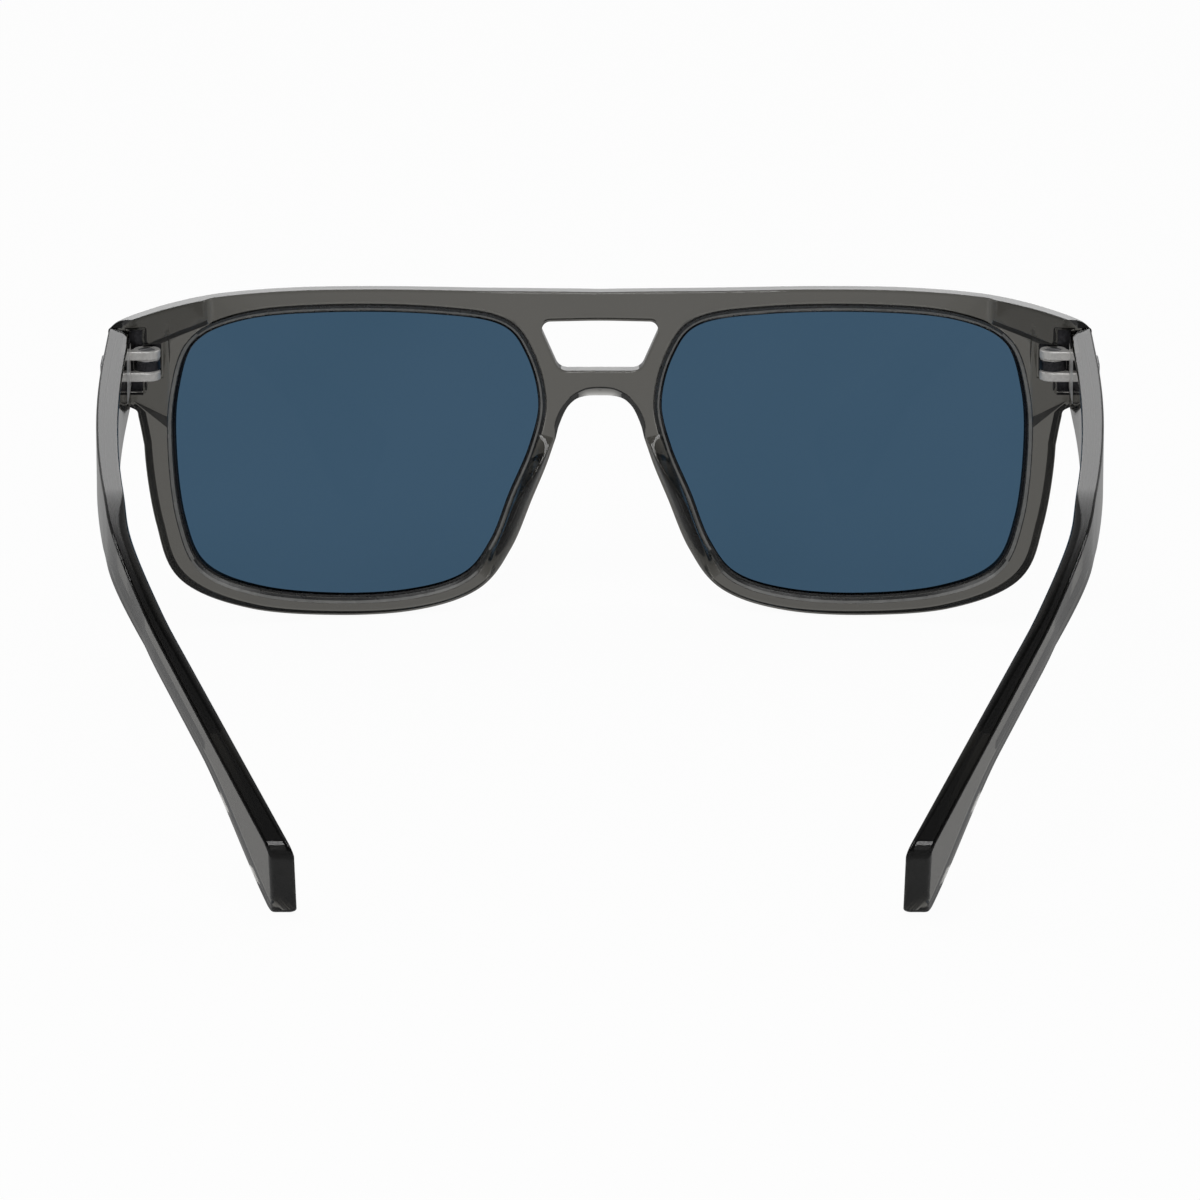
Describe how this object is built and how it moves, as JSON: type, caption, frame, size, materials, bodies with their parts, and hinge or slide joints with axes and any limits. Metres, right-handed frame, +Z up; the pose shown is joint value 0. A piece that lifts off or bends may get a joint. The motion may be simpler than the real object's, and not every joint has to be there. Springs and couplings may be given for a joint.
{
  "type": "rectangular sunglasses",
  "caption": "Rectangular sunglasses with a double bridge and its window, tinted curved lenses, moulded nose pads, and temples that fold on barrel hinges and bend down behind the ears.",
  "frame": {"origin": "middle of the bounding box on the plane that the rims and the temple tips stand on, temples open", "axes": "+X is the wearer's left, +Y runs back along the temples (the wearer looks along -Y), +Z is up"},
  "size_m": [0.1406, 0.1638, 0.0483],
  "materials": {
    "frame_plastic": "polished warm grey, slightly translucent",
    "nose_pad": "polished warm grey, as the frame",
    "lens": "smooth, dark blue tint",
    "hinge_steel": "bright, lightly tumbled",
    "core_wire": "drawn",
    "plaque": "dark grey satin"
  },
  "bodies": {
    "front": {"front_frame": "frame_plastic", "left_lens": "lens", "right_lens": "lens", "left_nose_pad": "nose_pad", "right_nose_pad": "nose_pad", "left_front_hinge": "hinge_steel", "right_front_hinge": "hinge_steel"},
    "left_arm": {"left_temple": "frame_plastic", "left_core_wire": "core_wire", "left_temple_hinge": "hinge_steel", "left_hinge_washers": "hinge_steel", "left_hinge_screw": "hinge_steel", "left_temple_plaque": "plaque"},
    "right_arm": {"right_temple": "frame_plastic", "right_core_wire": "core_wire", "right_temple_hinge": "hinge_steel", "right_hinge_washers": "hinge_steel", "right_hinge_screw": "hinge_steel", "right_temple_plaque": "plaque"}
  },
  "joints": [
    {"name": "left_temple_fold", "type": "hinge", "parent": "front", "child": "left_arm", "pos_m": [0.06435, -0.0602, 0.04018], "axis": [0, 0, 1], "range_deg": [0, 81]},
    {"name": "right_temple_fold", "type": "hinge", "parent": "front", "child": "right_arm", "pos_m": [-0.06435, -0.0602, 0.04018], "axis": [0, 0, -1], "range_deg": [0, 54.3]}
  ]
}
